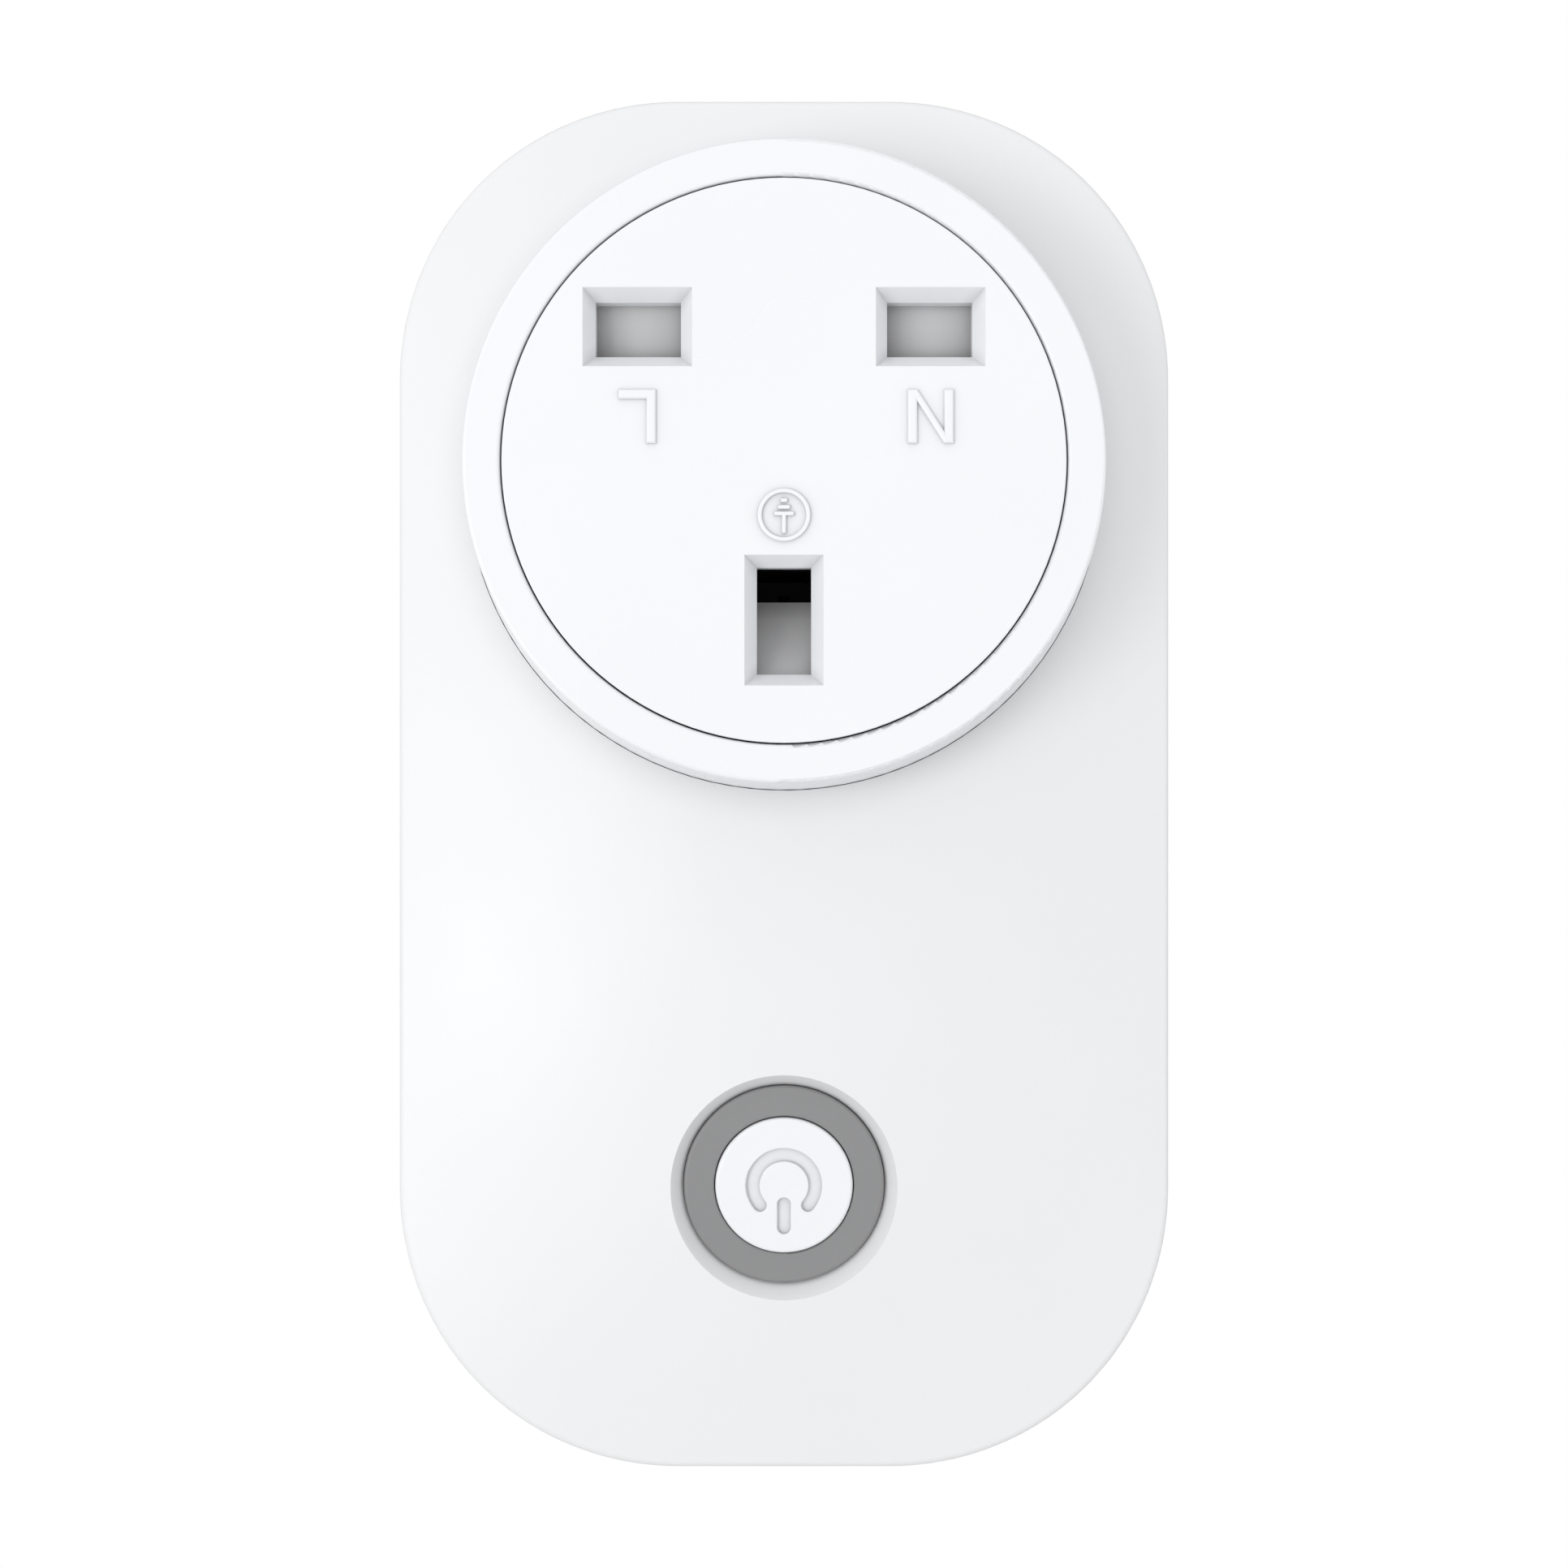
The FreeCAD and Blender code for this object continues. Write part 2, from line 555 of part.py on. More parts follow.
def contact_carrier():
    drum = rod("carrier_radius", "carrier_low", "carrier_high", 0, "outlet_y")
    rim = rod("flange_radius", 20.5, "flange_low", 0, "outlet_y")
    ears = [rod(2.4, 20.5, "flange_low", x, y) for x, y in CARRIER_SCREWS]
    over = "carrier_high + 1"
    seat = "shutter_back - 0.1"
    ways = [
        block(("-wing_half_width - 0.3", "wing_low - shutter_travel - 0.2", seat),
              ("wing_half_width + 0.3", "wing_high + 0.3", over)),
        block(("-rail_outer - 0.2", 0, seat), ("rail_outer + 0.2", "wing_high", over)),
        block(("-rail_outer - 0.2", 0, "ramp_back - 0.1"), ("rail_outer + 0.2", "ramp_high + 0.4", over)),
        block((-2, "spring_low", 30.6), (2, 32.3, over)),
        block((-3.4, 8, "carrier_low - 1"), (3.4, 16.8, over)),
    ]
    for x in ("-pin_offset", "pin_offset"):
        ways.append(block((f"{x} - 4", "line_y - 3.6", "carrier_low - 1"), (f"{x} + 4", "line_y + 3.6", over)))
    holes = [rod(1.1, 20, 23, x, y) for x, y in CARRIER_SCREWS]
    stop = block((-2.3, 17, 32.4), (2.3, "spring_low", 34.3))
    place("contact_carrier", fuse(cut(fuse(drum, rim, *ears), *ways, *holes), stop))


def carrier_screws():
    place("carrier_screws", group(*[screw(x, y, 20.5, True, 2.0, 1.0, 4.6) for x, y in CARRIER_SCREWS]))


def contact_retainer():
    plate = rod(21, "retainer_low", "carrier_low", 0, "outlet_y")
    slots = [block((f"{x} - 2.9", "line_y - 0.5", 12), (f"{x} + 2.9", "line_y + 0.5", 15))
             for x in ("-pin_offset", "pin_offset")]
    slots.append(block((-0.5, "earth_y - 3.3", 12), (0.5, "earth_y + 3.3", 15)))
    place("contact_retainer", cut(plate, *slots))


def contact_profile(half_gap, foot, tail_end):
    """A clip's section: two sprung leaves with flared lips on a foot, and a tail below it."""
    outer, top = f"{half_gap} + strip_gauge", 28.6
    tail = 0.4
    right = [(f"{half_gap} + 0.7", top), (half_gap, top - 1.4), (half_gap, foot)]
    back = [(f"{half_gap} + 0.7 + strip_gauge", top), (outer, top - 1.4), (outer, f"{foot} - strip_gauge"),
            (tail, f"{foot} - strip_gauge"), (tail, tail_end)]

    def mirrored(points):
        return [(f"-({across})", up) for across, up in points]
    return back + mirrored(back[::-1]) + mirrored(right) + right[::-1]


def contact(node, plane, profile, width, x, y):
    body = new_body("Contact")
    feature = pad(body, outline(sketch(body, plane=plane), profile), width)
    feature.Midplane = True
    place(node, body, x, y)


def contacts():
    line = "line_pin_height/2"
    contact("live_contact", "YZ_Plane", contact_profile(line, 19.4, 11), 5.6, "-pin_offset", "line_y")
    contact("neutral_contact", "YZ_Plane", contact_profile(line, 19.4, 9), 5.6, "pin_offset", "line_y")
    contact("earth_contact", "XZ_Plane", contact_profile("earth_pin_width/2", 14.8, 9), 4.8, 0, "earth_y - 0.8")


# ---------------------------------------------------------------- plug

def line_pin(node, x):
    """A brass pin: full-size tip, a neck that the sleeve covers and a head inside the case."""
    body = new_body("LinePin")
    tip = "-line_pin_length"
    pad_between(body, lambda s: centred(s, "line_pin_width", "line_pin_height"), tip, "-sleeve_length")
    dress(body, "Chamfer", 0.9, at_level(tip))
    pad_between(body, lambda s: centred(s, 5.2, 2.9), "-sleeve_length", 4)
    pad_between(body, lambda s: centred(s, 8.4, 6), 3.2, 6.2)
    place(node, body, x, "line_y")


def pin_sleeve(node, x):
    body = new_body("Sleeve")
    pad_between(body, lambda s: centred(s, "line_pin_width", "line_pin_height"), "-sleeve_length", 2.6)
    pad_between(body, lambda s: centred(s, 8.4, 6), "floor_level", 3.2)
    pocket_between(body, lambda s: centred(s, 5.2, 2.9), "-sleeve_length - 1", 4)
    place(node, body, x, "line_y")


def earth_pin():
    body = new_body("EarthPin")
    pad_between(body, lambda s: centred(s, "earth_pin_width", "earth_pin_height"), "-earth_pin_length", 3)
    dress(body, "Chamfer", 0.9, at_level("-earth_pin_length"))
    pad_between(body, lambda s: centred(s, 7, 10.4), "floor_level", 6.2)
    place("earth_pin", body, 0, "earth_y")


def pin_retainer():
    bar = block((-17, "line_y - 4.1", 6.2), (17, "line_y + 4.1", 8))
    stem = block((-6, 6.5, 6.2), (6, "line_y", 8))
    windows = [block((f"{x} - 1.9", "line_y - 1.4", 6), (f"{x} + 1.9", "line_y + 1.4", 9))
               for x in ("-pin_offset", "pin_offset")]
    windows.append(block((-2.7, "earth_y - 1.4", 6), (2.7, "earth_y + 1.4", 9)))
    windows += [rod(1.1, 6, 9, x, y) for x, y in PLATE_POSTS]
    place("pin_retainer", cut(fuse(bar, stem), *windows))


def retainer_screws():
    place("retainer_screws", group(*[screw(x, y, 8, False, 2.1, 1.0, 5.4) for x, y in PLATE_POSTS]))


def links():
    """Copper links from the pins to the contacts and the board."""
    neutral = fuse(block(("pin_offset - 1.5", "line_y - 1.2", 6.2), ("pin_offset + 1.5", "line_y + 1.2", 9)),
                   block(("pin_offset", -0.1, 8.2), (15.6, "line_y + 1.2", 9)),
                   block((12.6, -0.1, 8.2), (15.6, 0.7, 12.6)))
    place("neutral_link", neutral)
    live = fuse(block(("-pin_offset - 1.5", "line_y - 1.2", 6.2), ("-pin_offset + 1.5", "line_y + 1.2", 9)),
                block((-15.6, -0.1, 8.2), ("-pin_offset", "line_y + 1.2", 9)),
                block((-15.6, -0.1, 8.2), (-12.6, 0.7, 12.6)))
    place("live_link", live)
    switched = fuse(block((-12.4, 4, 10.2), (-9.6, "line_y + 1.2", 11)),
                    block((-12.4, 4, 10.2), (-9.6, 4.8, 12.1)),
                    block((-12.4, -3.4, "board_low + board_thickness"), (-9.6, 4.8, 12.1)),
                    block((-12.4, "line_y + 0.4", 10.2), (-9.6, "line_y + 1.2", 12.1)))
    place("switched_live_link", switched)
    earth = fuse(block((-2.5, "earth_y - 1.2", 6.2), (2.5, "earth_y + 1.2", 8.2)),
                 block((-2.0, "earth_y - 1.0", 8.2), (2.0, "earth_y + 1.0", 9)))
    place("earth_link", earth)


# ---------------------------------------------------------------- main board

FRONT = "board_low + board_thickness"


def main_board():
    sheet_blank = case_prism("case_wall + 2.2", "board_low", FRONT)
    lower = block(("-board_width/2", "-case_height/2", "board_low - 1"), ("board_width/2", "board_top", 15))
    notches = [rod(3.3, "board_low - 1", 15, x, y) for x, y in BOSSES[::2]]
    holes = [rod(1.1, "board_low - 1", 15, x, y) for x, y in BOARD_POSTS]
    slots = [block((x - 1.6, -0.3, "board_low - 1"), (x + 1.6, 0.9, 15)) for x in (-14.1, 14.1)]
    place("main_board", cut(common(sheet_blank, lower), *notches, *holes, *slots))


def board_screws():
    place("board_screws", group(*[screw(x, y, FRONT, False, 2.1, 1.0, 7) for x, y in BOARD_POSTS]))


def relay():
    """A sealed power relay lying along the board, with its armature hinged on the yoke."""
    feet = [rod(1.0, 12, 13.4, x, -12) for x in (-23.6, -14.9)]
    place("relay_base", fuse(block((-25.6, -32.5, FRONT), (-12.9, -4.5, 13.1)), *feet))
    case = cut(block((-25.6, -32.5, 13.1), (-12.9, -4.5, 23.4)), block((-24.9, -31.8, 13), (-13.6, -5.2, 22.7)))
    place("relay_case", case)

    def on_coil_axis(radius, back, front):
        return rod_along_y(radius, back, front, "relay_x", "coil_level")
    winding = on_coil_axis(3.5, "coil_back", "coil_front")
    back_flange = on_coil_axis(4.0, "coil_back", "coil_back + 0.8")
    front_flange = on_coil_axis(4.0, "coil_front - 0.8", "coil_front")
    bore = on_coil_axis(1.6, "coil_back - 1", "coil_front + 0.6")
    place("relay_coil", cut(fuse(winding, back_flange, front_flange), bore))
    back_plate = block((-23, "coil_back - 1.3", 13.4), (-15.5, "coil_back", 22.4))
    arm = block((-23, "coil_back - 1.3", 21.6), (-15.5, -16.7, 22.4))
    core = on_coil_axis(1.6, "coil_back - 0.6", "coil_front + 0.5")
    place("relay_yoke", fuse(back_plate, arm, core))
    clapper = block((-22.8, -16.4, 13.9), (-15.7, -15.4, 22.3))
    blade = block((-21, -15.4, 21.5), (-17.5, -7, 22.0))
    place("relay_armature", fuse(clapper, blade, rod(1.3, 20.5, 21.5, "relay_x", -8.4)))
    strip = block((-21, -10.2, 18.7), (-17.5, -5.9, 19.3))
    leg = block((-21, -6.5, 13.1), (-17.5, -5.9, 19.3))
    place("relay_fixed_contact", fuse(strip, leg, rod(1.3, 19.3, 19.7, "relay_x", -8.4)))


def board_parts():
    """Parts that stand on the main board."""
    shunt = fuse(block((-8.6, -9, FRONT), (-7.4, -5, 13.6)), block((-4.6, -9, FRONT), (-3.4, -5, 13.6)),
                 block((-8.6, -9, 13), (-3.4, -5, 13.8)))
    place("shunt_resistor", shunt)
    chip = block((-6.5, -17.1, 11.8), (3.5, -11, 13.3))
    legs = [block((-6.1 + 1.27 * i, side, FRONT), (-5.7 + 1.27 * i, side + 1.2, 12.2))
            for i in range(8) for side in (-18.2, -11.1)]
    place("metering_chip", fuse(chip, *legs))
    place("power_fuse", fuse(rod(3.1, FRONT, 19.2, -12.9, -46.4), rod(2.7, 19.2, 19.5, -12.9, -46.4)))
    legs = block((-17.6, -40.2, FRONT), (-12.6, -39.2, 14))
    place("surge_varistor", fuse(rod_along_y(4.5, -41.5, -37.9, -15.1, 17.2), legs))
    film = block((-9, -49.8, FRONT), (9, -43.8, 22.6))
    place("film_capacitor", fillet(film, 0.6, lambda edge: edge.BoundBox.ZMin > 20))
    for node, radius, top, x, y in (("bulk_capacitor", 4.0, 23.0, 16.6, -39.4),
                                    ("output_capacitor", 3.1, 20.5, 12.8, -46.4)):
        can = rod(radius, FRONT, top, x, y)
        place(node, fillet(can, 0.5, lambda edge: edge.BoundBox.ZMin > 20))
    body = block((3.6, -38.6, 11.9), (8.4, -34.4, 14.0))
    feet = [block((x, -39.6, FRONT), (x + 0.7, -33.4, 12.3)) for x in (4.0, 7.3)]
    place("bridge_rectifier", fuse(body, *feet))
    place("filter_inductor", fuse(rod(2.7, FRONT, 12.6, 7.6, -18.2), rod(1.7, 12.6, 15.9, 7.6, -18.2),
                                  rod(2.7, 15.9, 16.9, 7.6, -18.2)))
    place("board_header", fuse(block((-5, -24.9, FRONT), (5, -22.6, 14.1)),
                               *[block((1.27 * i - 0.3, -24.05, FRONT), (1.27 * i + 0.3, -23.45, 17.8))
                                 for i in range(-3, 4)]))


def transformer():
    low, high = (12, -32), (25.4, -19)
    outer = block((*low, 15), (high[0], high[1], 20.2))
    window = block((low[0] + 1.8, low[1] - 1, 14), (high[0] - 1.8, high[1] + 1, 18.6))
    place("transformer_core", cut(outer, window))
    spool = fuse(block((14.2, -31, FRONT), (23.2, -20, 14.6)), block((14.4, -30, 14.6), (23, -21, 18.4)))
    place("transformer_winding", spool)


def radio():
    """The radio's own board with its half-round edge pads, a shield can and a chip antenna."""
    blank = block((10.5, -17, FRONT), (25.7, -1.6, 12.4))
    pads = [rod(0.4, 11, 13, x, -15.6 + 1.5 * i) for x in (10.5, 25.7) for i in range(7)]
    place("radio_board", cut(blank, *pads))
    can = cut(block((11.3, -16.3, 12.4), (24.9, -6.4, 14.8)), block((11.6, -16, 12), (24.6, -6.7, 14.5)))
    place("radio_shield", can)
    ends = block((15.4, -4.6, 12.4), (20.6, -2.6, 13.4))
    place("radio_antenna", fuse(ends, block((16, -4.6, 13.4), (20, -2.6, 13.5))))


# ---------------------------------------------------------------- button, drawn in its own frame

def light_ring():
    """A grey diffuser: its face stands in the recess, and its skirt reaches back to the lamps."""
    bore = "cap_radius + cap_gap"
    body = turned("LightRing", [
        (bore, "light_level"), ("light_radius", "light_level"), ("light_radius", -2.5),
        (9.5, -2.5), (9.5, -3.4), ("light_radius", -3.4), ("light_radius", -9), (6.9, -9), (6.9, -2.7),
        (bore, -2.7)])
    dress(body, "Fillet", 0.25, round_edge_at("light_level", "light_radius"))
    dress(body, "Fillet", 0.12, round_edge_at("light_level", bore))
    place_tilted("light_ring", body)


def power_icon(drawn):
    """An open ring with a bar across its gap, turned half over so that the gap is at the bottom."""
    mean, half, gap = 2.48, 0.52, math.radians(50)
    up = FreeCAD.Vector(0, 0, 1)
    start, end = -math.pi / 2 + gap, 1.5 * math.pi - gap
    centre = FreeCAD.Vector()
    wire = [Part.ArcOfCircle(Part.Circle(centre, up, mean + half), start, end),
            Part.ArcOfCircle(Part.Circle(centre, up, mean - half), start, end)]
    for angle, turn in ((start, -1), (end, 0)):
        tip = FreeCAD.Vector(mean * math.cos(angle), mean * math.sin(angle), 0)
        first = angle + turn * math.pi
        wire.append(Part.ArcOfCircle(Part.Circle(tip, up, half), first, first + math.pi))
    for arc in wire:
        drawn.addGeometry(arc, False)


def icon_bar(drawn):
    """The bar across the ring's gap, a slot with round ends."""
    half, low, high = 0.52, -3.4, -1.5
    up = FreeCAD.Vector(0, 0, 1)
    for level, first in ((low, math.pi), (high, 0)):
        end = Part.ArcOfCircle(Part.Circle(FreeCAD.Vector(0, level, 0), up, half), first, first + math.pi)
        drawn.addGeometry(end, False)
    for side in (-half, half):
        drawn.addGeometry(Part.LineSegment(FreeCAD.Vector(side, low, 0), FreeCAD.Vector(side, high, 0)), False)


def button_cap():
    """A round key with a flange under the light ring and a post that meets the switch's plunger."""
    body = turned("ButtonCap", [
        (0, "cap_level"), ("cap_radius", "cap_level"), ("cap_radius", -2.75), (6.6, -2.75), (6.6, -3.7),
        (1.8, -3.7), (1.8, "plunger_top"), (0, "plunger_top")])
    dress(body, "Fillet", 0.25, round_edge_at("cap_level", "cap_radius"))
    for draw in (power_icon, icon_bar):
        pocket_between(body, draw, "cap_level - icon_depth", "cap_level")
    flat, reach = at_level("cap_level"), value("cap_radius - 1")
    dress(body, "Fillet", "icon_rounding", lambda edge: flat(edge) and edge.BoundBox.XMax < reach)
    place_tilted("button_cap", body)


def tact_switch():
    body = new_body("TactBody")
    pad_between(body, lambda s: centred(s, 6.2, 6.2), "button_board_front", -6.9)
    pocket_between(body, lambda s: circle(s, 1.8), -9.3, -6.9)
    place_tilted("tact_switch_body", body)
    plunger = turned("TactPlunger", [(0, -8.8), (1.72, -8.8), (1.72, "plunger_top"), (0, "plunger_top")])
    place_tilted("tact_switch_plunger", plunger)


def button_board():
    body = new_body("ButtonBoard")
    back = "button_board_front - 1"
    pad_between(body, lambda s: centred(s, 20.4, 19), back, "button_board_front")
    for x, v in BUTTON_POSTS:
        pocket_between(body, lambda s: circle(s, 0.9, x, v), back, "button_board_front")
    place_tilted("button_board", body)
    heads = []
    for x, v in BUTTON_POSTS:
        head = put_tilted(rod(1.5, 0, 1), x, v, "button_board_front - 2")
        shank = put_tilted(rod(0.6, 0, 5), x, v, "button_board_front - 1.5")
        heads.append(fuse(head, shank))
    place("button_board_screws", group(*heads))


def status_leds():
    """Four lamps on the button's board, under the light ring's skirt."""
    length, width, height, spread = 1.6, 0.8, 0.7, 7.4
    lamps = []
    for x, v in ((spread, 0), (-spread, 0), (0, spread), (0, -spread)):
        lamp = block((0, 0, 0), (length, width, height))
        lamps.append(put_tilted(lamp, x - length / 2, v - width / 2, "button_board_front"))
    place("status_leds", group(*lamps))


# ---------------------------------------------------------------- build, check, write

def build():
    rear_cover()
    front_cover()
    case_screws()
    socket_bezel_ring()
    socket_faceplate()
    shutter()
    shutter_spring()
    contact_carrier()
    carrier_screws()
    contact_retainer()
    contacts()
    line_pin("live_pin", "-pin_offset")
    line_pin("neutral_pin", "pin_offset")
    pin_sleeve("live_pin_sleeve", "-pin_offset")
    pin_sleeve("neutral_pin_sleeve", "pin_offset")
    earth_pin()
    pin_retainer()
    retainer_screws()
    links()
    main_board()
    board_screws()
    relay()
    board_parts()
    transformer()
    radio()
    light_ring()
    button_cap()
    tact_switch()
    button_board()
    status_leds()
    doc.recompute()
    doc.removeObject("Probe")


def write():
    for item in doc.Objects:
        if {"Invalid", "Error"} & set(item.State):
            raise RuntimeError(f"{item.Name} ({item.Label}) failed: {item.State}")
    for item in nodes:
        if item.Shape.isNull() or not item.Shape.isValid() or not item.Shape.Solids:
            raise RuntimeError(f"{item.Label} has no valid solid")
    os.makedirs("parts", exist_ok=True)
    for item in nodes:
        item.Shape.exportStep(f"parts/{item.Label}.step")
        print(f"{item.Label}: {len(item.Shape.Solids)} solid(s), {item.Shape.Volume / 1000:.3f} cm3")


build()
write()
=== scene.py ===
"""Looks for the plug-in power meter: a white outlet adaptor with a round bezel and a power button.

The CAD frame gives every place and size. Everything is in metres, +Z up, with the face looking along -Y.
"""
import json
import math

import bpy
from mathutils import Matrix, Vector


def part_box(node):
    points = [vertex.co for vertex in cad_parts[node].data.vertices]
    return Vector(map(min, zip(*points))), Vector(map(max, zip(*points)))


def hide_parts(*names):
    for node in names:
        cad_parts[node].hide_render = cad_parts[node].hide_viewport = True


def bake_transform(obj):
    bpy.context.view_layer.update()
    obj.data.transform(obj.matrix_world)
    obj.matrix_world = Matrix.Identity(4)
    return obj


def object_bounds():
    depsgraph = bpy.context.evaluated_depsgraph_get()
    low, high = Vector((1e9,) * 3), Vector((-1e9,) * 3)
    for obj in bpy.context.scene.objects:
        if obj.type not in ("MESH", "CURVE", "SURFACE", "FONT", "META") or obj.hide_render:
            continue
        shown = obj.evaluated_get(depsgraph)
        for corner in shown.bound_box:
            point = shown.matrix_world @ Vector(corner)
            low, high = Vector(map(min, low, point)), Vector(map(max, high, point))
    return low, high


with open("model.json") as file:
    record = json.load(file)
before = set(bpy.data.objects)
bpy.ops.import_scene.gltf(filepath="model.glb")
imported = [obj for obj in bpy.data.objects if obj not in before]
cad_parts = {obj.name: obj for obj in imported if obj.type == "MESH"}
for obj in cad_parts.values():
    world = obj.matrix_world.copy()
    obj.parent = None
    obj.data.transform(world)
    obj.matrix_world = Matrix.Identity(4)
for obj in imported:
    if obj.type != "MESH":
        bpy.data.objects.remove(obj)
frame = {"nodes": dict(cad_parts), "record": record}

cad_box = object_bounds()


# ---------------------------------------------------------------- materials

def new_material(name):
    """A material with its node tree and shader."""
    material = bpy.data.materials.new(name)
    material.use_nodes = True
    tree = material.node_tree
    return material, tree, tree.nodes["Principled BSDF"]


def noise(tree, scale, detail=2.0):
    """Noise with a given number of cells to the metre, in the object's own coordinates."""
    place = tree.nodes.new("ShaderNodeTexCoord")
    texture = tree.nodes.new("ShaderNodeTexNoise")
    texture.inputs["Scale"].default_value = scale
    texture.inputs["Detail"].default_value = detail
    tree.links.new(place.outputs["Object"], texture.inputs["Vector"])
    return texture.outputs["Fac"]


def spread(tree, source, low, high, least=0.3, most=0.7):
    """Maps the part of a noise from least to most, where nearly all of it lies, to a range."""
    ramp = tree.nodes.new("ShaderNodeMapRange")
    for name, number in (("From Min", least), ("From Max", most), ("To Min", low), ("To Max", high)):
        ramp.inputs[name].default_value = number
    tree.links.new(source, ramp.inputs["Value"])
    return ramp.outputs["Result"]


def tint(tree, source, dark, light):
    """Mixes two colours by a noise."""
    mix = tree.nodes.new("ShaderNodeMix")
    mix.data_type = "RGBA"
    mix.inputs["A"].default_value = (*dark, 1)
    mix.inputs["B"].default_value = (*light, 1)
    tree.links.new(source, mix.inputs["Factor"])
    return mix.outputs["Result"]


def bump(tree, shader, height, depth):
    """Raises the surface by a height field, depth metres from its lowest to its highest."""
    lift = tree.nodes.new("ShaderNodeBump")
    lift.inputs["Strength"].default_value = 1.0
    lift.inputs["Distance"].default_value = depth
    tree.links.new(height, lift.inputs["Height"])
    tree.links.new(lift.outputs["Normal"], shader.inputs["Normal"])


def shade(colour, factor):
    """A lighter or darker version of a colour."""
    return tuple(min(1.0, channel * factor) for channel in colour)


def painted_crevice_shade(tree, colour, reach, depth):
    """Paints shade into a colour: darkens it in gaps and corners where other surfaces stand within reach, to
    deepen their shade.
    """
    near = tree.nodes.new("ShaderNodeAmbientOcclusion")
    near.samples = 8
    near.inputs["Distance"].default_value = reach
    level = tree.nodes.new("ShaderNodeMapRange")
    level.inputs["To Min"].default_value = 1 - depth
    tree.links.new(near.outputs["AO"], level.inputs["Value"])
    painted_shade_mix = tree.nodes.new("ShaderNodeMix")
    painted_shade_mix.data_type = "RGBA"
    painted_shade_mix.blend_type = "MULTIPLY"
    painted_shade_mix.inputs["Factor"].default_value = 1.0
    tree.links.new(colour, painted_shade_mix.inputs["A"])
    tree.links.new(level.outputs["Result"], painted_shade_mix.inputs["B"])
    return painted_shade_mix.outputs["Result"]


def moulded(name, colour, roughness=0.35, variation=0.05, grain=4500, depth=2e-6, tone=0.015,
            patches=60, reach=0.0, painted_shade_depth=0.0, **sockets):
    """Moulded plastic: a fine spark-eroded grain, slow changes of gloss and tone from the tool, and painted
    shade in gaps and corners when a reach is given.

    Grain and patches are counts to the metre, depth and reach are in metres.
    """
    material, tree, shader = new_material(name)
    slow = noise(tree, patches)
    fine = noise(tree, grain, detail=3.0)
    base = tint(tree, slow, shade(colour, 1 - tone), shade(colour, 1 + tone))
    # Painted shade: the colour is darkened in gaps and corners within reach.
    if reach:
        base = painted_crevice_shade(tree, base, reach, painted_shade_depth)
    tree.links.new(base, shader.inputs["Base Color"])
    gloss = spread(tree, slow, roughness - variation, roughness + variation)
    tree.links.new(gloss, shader.inputs["Roughness"])
    bump(tree, shader, fine, depth)
    for socket, number in sockets.items():
        shader.inputs[socket.replace("_", " ")].default_value = number
    return material


def metal(name, colour, roughness=0.3, stretch=(1, 1, 1), grain=900, depth=3e-6,
          stains=250, stained=0.94, smoother=0.08, rougher=0.1):
    """Drawn or stamped metal: fine lines along the way it was worked, and a slight stain."""
    material, tree, shader = new_material(name)
    place = tree.nodes.new("ShaderNodeTexCoord")
    pull = tree.nodes.new("ShaderNodeMapping")
    pull.inputs["Scale"].default_value = stretch
    lines = tree.nodes.new("ShaderNodeTexNoise")
    lines.inputs["Scale"].default_value = grain
    lines.inputs["Detail"].default_value = 4.0
    tree.links.new(place.outputs["Object"], pull.inputs["Vector"])
    tree.links.new(pull.outputs["Vector"], lines.inputs["Vector"])
    slow = noise(tree, stains, detail=4.0)
    tree.links.new(tint(tree, slow, shade(colour, stained), colour), shader.inputs["Base Color"])
    gloss = spread(tree, lines.outputs["Fac"], roughness - smoother, roughness + rougher)
    tree.links.new(gloss, shader.inputs["Roughness"])
    bump(tree, shader, lines.outputs["Fac"], depth)
    shader.inputs["Metallic"].default_value = 1.0
    return material


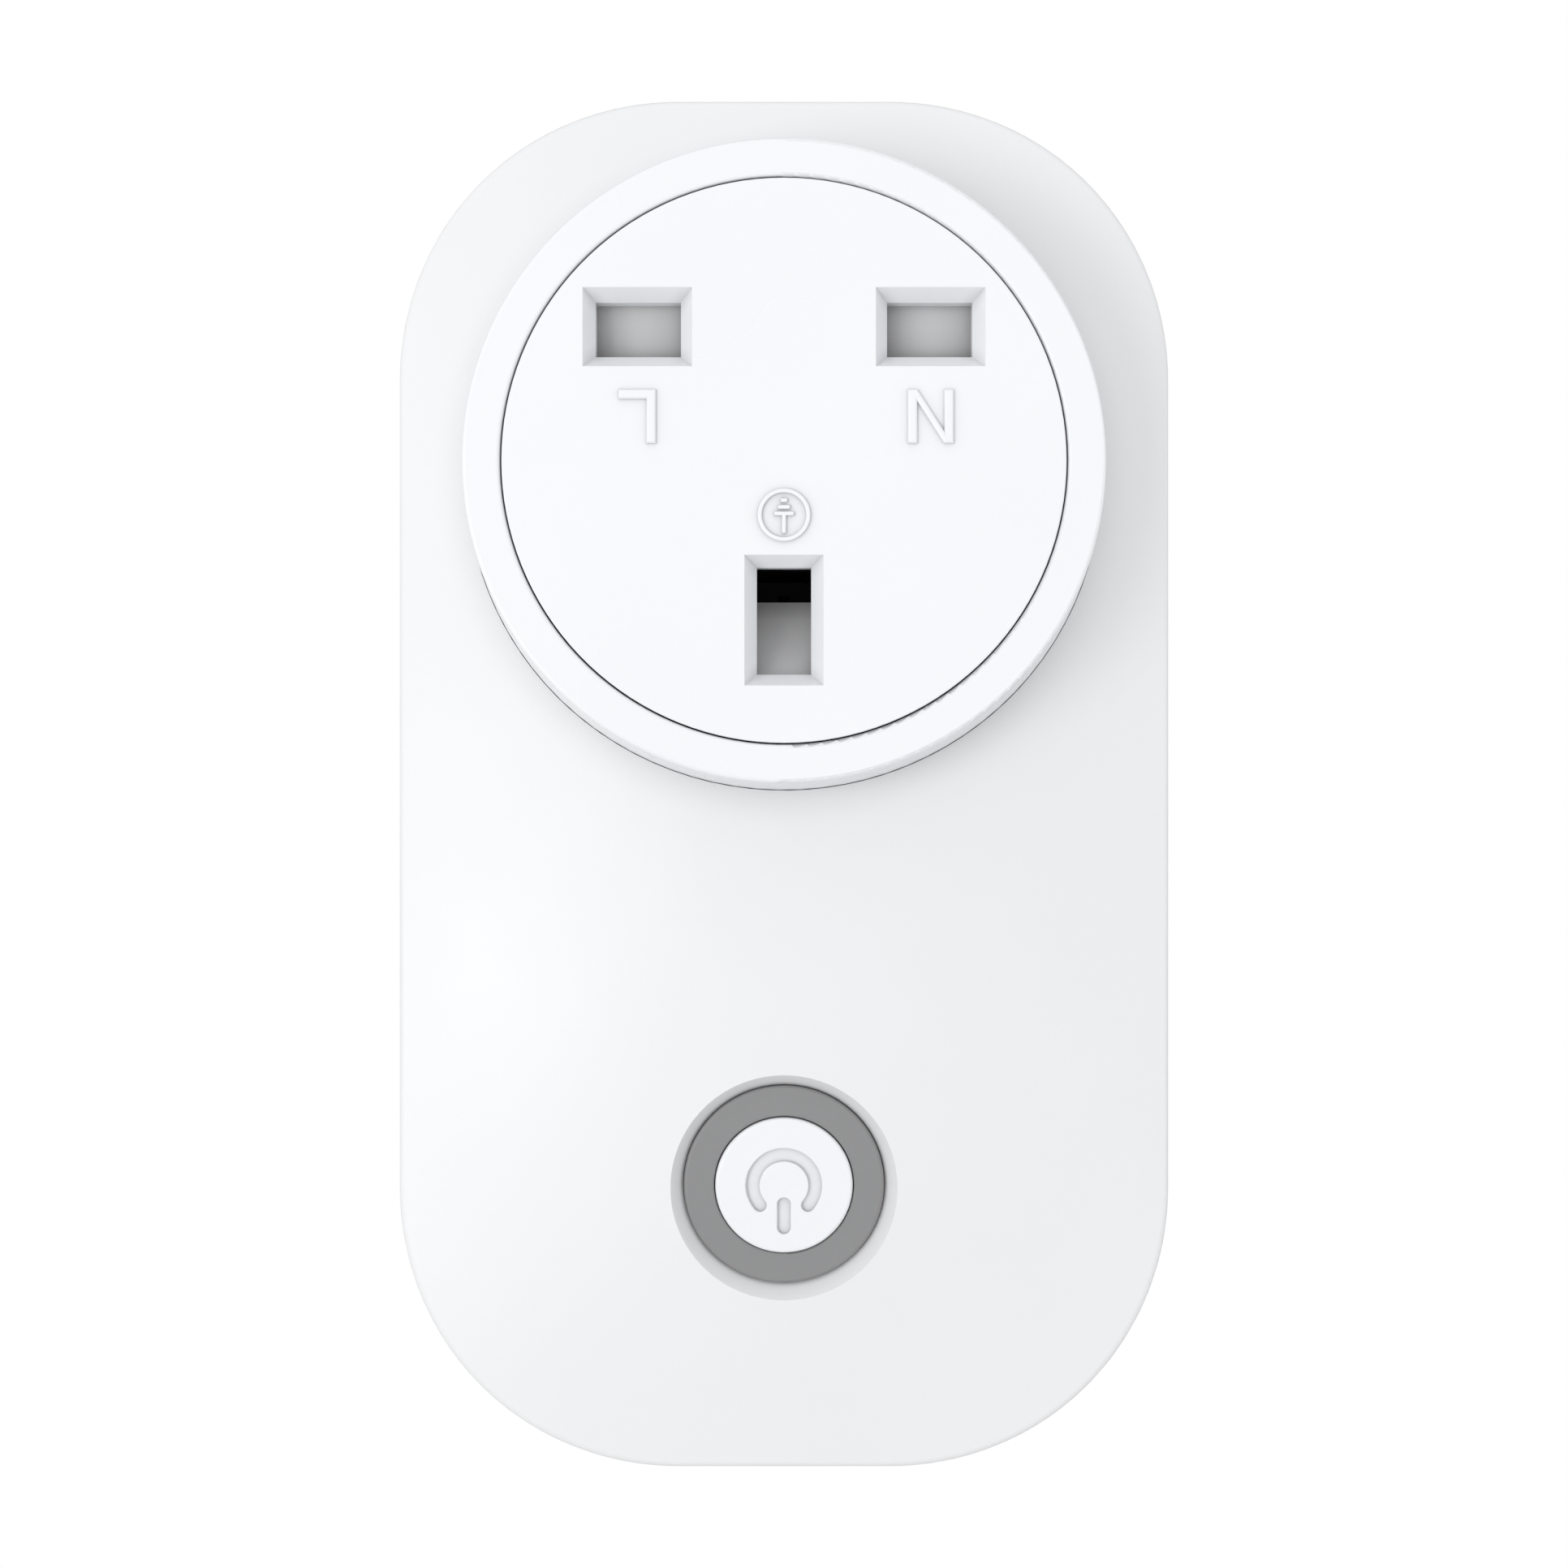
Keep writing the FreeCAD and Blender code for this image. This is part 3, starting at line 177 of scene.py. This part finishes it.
def materials():
    """One material for each slot of the record."""
    along_pin = (1, 0.06, 1)
    round_winding = (0.1, 1, 0.1)
    return {
        # case_white, face_white and shutter_white get painted shade in their gaps and corners.
        "case_white": moulded("case_white", (0.835, 0.84, 0.85), 0.38, reach=0.003, painted_shade_depth=0.3, IOR=1.46),
        "face_white": moulded("face_white", (0.87, 0.885, 0.905), 0.30, grain=6000, depth=1e-6,
                              reach=0.0012, painted_shade_depth=0.45, IOR=1.46),
        "shutter_white": moulded("shutter_white", (0.76, 0.76, 0.765), 0.5, reach=0.004, painted_shade_depth=0.6),
        "light_grey": moulded("light_grey", (0.262, 0.265, 0.268), 0.42, grain=7000, depth=1e-6,
                              Subsurface_Weight=0.15, Subsurface_Scale=0.002),
        "black_nylon": moulded("black_nylon", (0.012, 0.012, 0.013), 0.5, grain=3000, depth=4e-6),
        "sleeve_black": moulded("sleeve_black", (0.015, 0.015, 0.016), 0.42),
        "pin_brass": metal("pin_brass", (0.76, 0.53, 0.22), 0.24, along_pin, 2500, 1.5e-6),
        "copper": metal("copper", (0.88, 0.56, 0.38), 0.32),
        "spring_steel": metal("spring_steel", (0.55, 0.55, 0.56), 0.3),
        "screw_steel": metal("screw_steel", (0.66, 0.67, 0.69), 0.3),
        "shield_tin": metal("shield_tin", (0.72, 0.73, 0.75), 0.35),
        "board_green": moulded("board_green", (0.02, 0.16, 0.06), 0.3, grain=1500, tone=0.08),
        "board_blue": moulded("board_blue", (0.01, 0.05, 0.18), 0.3, grain=1500, tone=0.08),
        "relay_black": moulded("relay_black", (0.02, 0.02, 0.022), 0.35),
        "winding_copper": metal("winding_copper", (0.72, 0.30, 0.14), 0.3, round_winding, 4000, 2e-5),
        "chip_black": moulded("chip_black", (0.022, 0.022, 0.024), 0.5),
        "varistor_blue": moulded("varistor_blue", (0.03, 0.12, 0.42), 0.35, tone=0.06),
        "film_yellow": moulded("film_yellow", (0.72, 0.52, 0.05), 0.35),
        "can_black": moulded("can_black", (0.02, 0.02, 0.03), 0.25),
        "ferrite": moulded("ferrite", (0.05, 0.05, 0.055), 0.55, grain=2500, depth=8e-6),
        "tape_yellow": moulded("tape_yellow", (0.80, 0.60, 0.06), 0.25),
        "antenna_white": moulded("antenna_white", (0.72, 0.72, 0.68), 0.35),
        "led_lens": moulded("led_lens", (0.80, 0.80, 0.62), 0.15),
    }


# ---------------------------------------------------------------- stage

def area_light(name, place, aim, size, power):
    """A rectangular white light at one place, facing another."""
    lamp = bpy.data.lights.new(name, "AREA")
    lamp.shape = "RECTANGLE"
    lamp.size, lamp.size_y = size
    lamp.energy = power
    holder = bpy.data.objects.new(name, lamp)
    holder.location = place
    holder.rotation_euler = (Vector(aim) - Vector(place)).to_track_quat("-Z", "Y").to_euler()
    bpy.context.scene.collection.objects.link(holder)


def studio_world(front, back, backdrop, fade_from=-0.1, fade_to=0.8):
    """White light all round, stronger before the object than behind it, and an even backdrop for the camera.

    The light fades from front to back as the Y of its direction goes from fade_from to fade_to.
    """
    world = bpy.data.worlds.new("studio")
    world.use_nodes = True
    tree = world.node_tree
    background = tree.nodes["Background"]
    background.inputs["Color"].default_value = (1, 1, 1, 1)
    direction = tree.nodes.new("ShaderNodeTexCoord")
    parts = tree.nodes.new("ShaderNodeSeparateXYZ")
    fade = tree.nodes.new("ShaderNodeMapRange")
    for name, number in (("From Min", fade_from), ("From Max", fade_to), ("To Min", front), ("To Max", back)):
        fade.inputs[name].default_value = number
    ray = tree.nodes.new("ShaderNodeLightPath")
    choice = tree.nodes.new("ShaderNodeMix")
    choice.inputs["B"].default_value = backdrop
    tree.links.new(direction.outputs["Generated"], parts.inputs["Vector"])
    tree.links.new(parts.outputs["Y"], fade.inputs["Value"])
    tree.links.new(fade.outputs["Result"], choice.inputs["A"])
    tree.links.new(ray.outputs["Is Camera Ray"], choice.inputs["Factor"])
    tree.links.new(choice.outputs["Result"], background.inputs["Strength"])
    bpy.context.scene.world = world


def floor(level, reach):
    """A plain pale floor below the object."""
    mesh = bpy.data.meshes.new("floor")
    corners = [(sx * reach, sy * reach, level) for sx, sy in ((-1, -1), (1, -1), (1, 1), (-1, 1))]
    mesh.from_pydata(corners, [], [(0, 1, 2, 3)])
    mesh.materials.append(moulded("floor_white", (0.86, 0.86, 0.86), 0.6, grain=900, depth=2e-5))
    slab = bpy.data.objects.new("floor", mesh)
    bpy.context.scene.collection.objects.link(slab)


def stage():
    """Even light with a weak key from the front left, and a camera straight in front of the face."""
    distance = 0.230
    below = 0.085
    studio_world(front=0.92, back=0.42, backdrop=1.0)
    bpy.context.scene.view_settings.view_transform = "Standard"
    area_light("key", place=(-0.5, -0.85, -0.1), aim=(0, 0, 0), size=(0.4, 0.4), power=2.2)
    floor(level=cad_box[0][2] - below, reach=0.25)
    camera = bpy.data.cameras.new("camera")
    camera.lens = 69.8
    camera.sensor_width = 36
    camera.clip_start = 0.01
    holder = bpy.data.objects.new("camera", camera)
    holder.location = (0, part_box("socket_bezel_ring")[0].y - distance, 0)
    holder.rotation_euler = (math.pi / 2, 0, 0)
    bpy.context.scene.collection.objects.link(holder)
    bpy.context.scene.camera = holder


# ---------------------------------------------------------------- pieces

def coil(node, turns, wire, finish, steps=40, around=12, closed_pitch=2.1):
    """A round-wire spring with one closed turn at each end, standing for a node whose box gives its size.

    Wire is the wire's radius, and closed_pitch the climb of a closed turn in wire radii.
    """
    low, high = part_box(node)
    axis = (low + high) / 2
    radius = (high.x - low.x) / 2 - wire
    rise = high.z - low.z - 2 * wire
    closed = closed_pitch * wire / rise
    points, faces = [], []
    for i in range(turns * steps + 1):
        turn = i / steps
        if turn < 1:
            share = closed * turn
        elif turn > turns - 1:
            share = 1 - closed * (turns - turn)
        else:
            share = closed + (1 - 2 * closed) * (turn - 1) / (turns - 2)
        out = Vector((math.cos(math.tau * turn), math.sin(math.tau * turn), 0))
        for j in range(around):
            angle = math.tau * j / around
            ring = out * (radius + wire * math.cos(angle))
            height = low.z + wire + rise * share + wire * math.sin(angle)
            points.append((axis.x + ring.x, axis.y + ring.y, height))
    for i in range(turns * steps):
        for j in range(around):
            k = (j + 1) % around
            here, there = i * around, (i + 1) * around
            faces.append((here + j, there + j, there + k, here + k))
    faces.append(tuple(range(around)))
    faces.append(tuple(range(len(points) - 1, len(points) - 1 - around, -1)))
    mesh = bpy.data.meshes.new("spring_coil")
    mesh.from_pydata(points, [], faces)
    mesh.shade_smooth()
    mesh.materials.append(finish)
    spring = bpy.data.objects.new("spring_coil", mesh)
    bpy.context.scene.collection.objects.link(spring)
    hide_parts(node)
    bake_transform(spring)


finishes = materials()
for entry in frame["record"]["subparts"]:
    mesh = frame["nodes"][entry["node"]].data
    mesh.materials.clear()
    mesh.materials.append(finishes[entry["material_slot"]])
coil("shutter_spring", turns=8, wire=0.00022, finish=finishes["spring_steel"])
stage()
